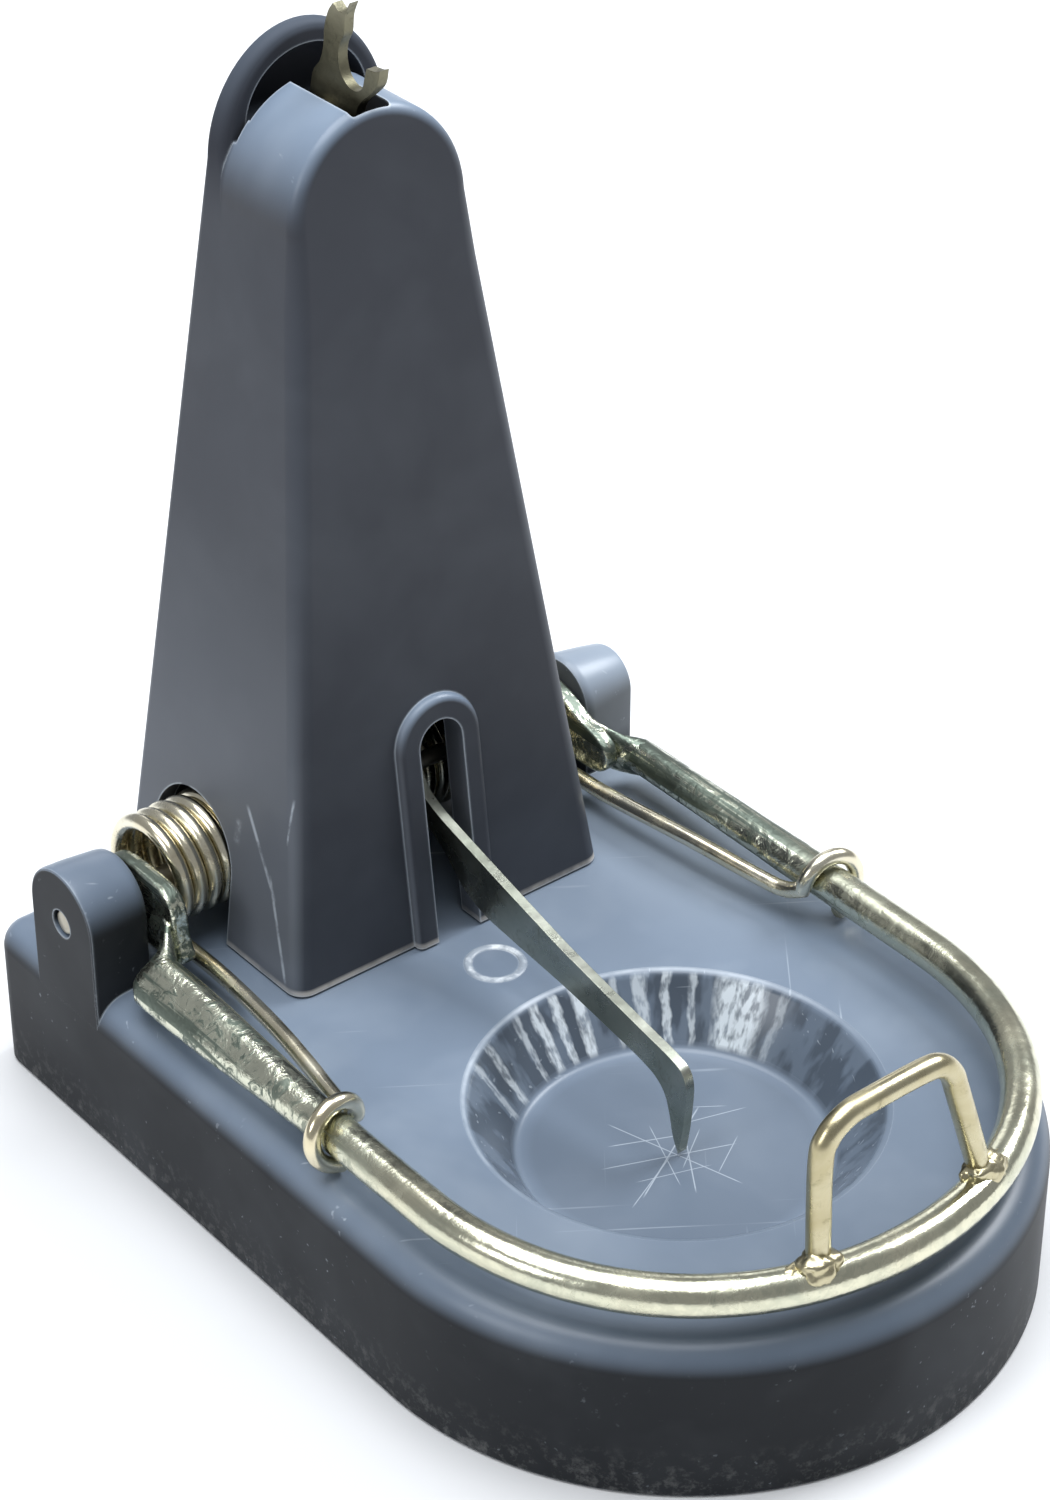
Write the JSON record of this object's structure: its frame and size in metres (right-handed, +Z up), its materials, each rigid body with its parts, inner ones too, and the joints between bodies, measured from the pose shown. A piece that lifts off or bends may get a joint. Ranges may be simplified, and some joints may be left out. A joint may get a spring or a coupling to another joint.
{
  "type": "snap mouse trap",
  "caption": "Snap trap: a moulded base with a bait cup and a tapered tower, a sprung wire jaw, a latch fork and a trigger lever.",
  "frame": {"origin": "middle of the base's underside", "axes": "+Z up, -Y towards the jaw's bow, X along the hinge axle"},
  "size_m": [0.08, 0.1156, 0.1288],
  "materials": {
    "base_plastic": "semi-gloss moulded blue-grey plastic with scuffs",
    "tower_plastic": "semi-gloss moulded grey plastic with scuffs",
    "zinc_wire": "bright zinc with a yellow tint",
    "zinc_rod": "bright zinc plate, spangled on the flattened arms",
    "dull_steel": "dull pressed steel plate",
    "pin_steel": "cut bright steel"
  },
  "bodies": {
    "base": {"base_tray": "base_plastic", "tower_housing": "tower_plastic", "axle": "pin_steel", "left_spring_coil": "zinc_wire", "right_spring_coil": "zinc_wire", "latch_pin": "pin_steel", "latch_spring": "zinc_wire", "trigger_pin": "pin_steel", "tower_screw_1": "pin_steel", "tower_screw_2": "pin_steel", "tower_screw_3": "pin_steel", "tower_screw_4": "pin_steel"},
    "jaw": {"jaw_bow": "zinc_rod", "setting_bail": "zinc_rod", "left_spring_arm": "zinc_wire", "right_spring_arm": "zinc_wire"},
    "latch": {"latch_fork": "dull_steel"},
    "trigger": {"trigger_lever": "dull_steel"}
  },
  "joints": [
    {"name": "jaw_hinge", "type": "hinge", "parent": "base", "child": "jaw", "pos_m": [0, 0.042, 0.0277], "axis": [-1, 0, 0], "range_deg": [0, 76.5], "stiffness_Nm_per_rad": 0.6, "springref_deg": -68.75},
    {"name": "latch_hinge", "type": "hinge", "parent": "base", "child": "latch", "pos_m": [0, 0.0425, 0.1145], "axis": [1, 0, 0], "range_deg": [0, 6], "stiffness_Nm_per_rad": 0.004, "springref_deg": -17.19},
    {"name": "trigger_hinge", "type": "hinge", "parent": "base", "child": "trigger", "pos_m": [0, 0.031, 0.0375], "axis": [-1, 0, 0], "range_deg": [0, 5]}
  ]
}
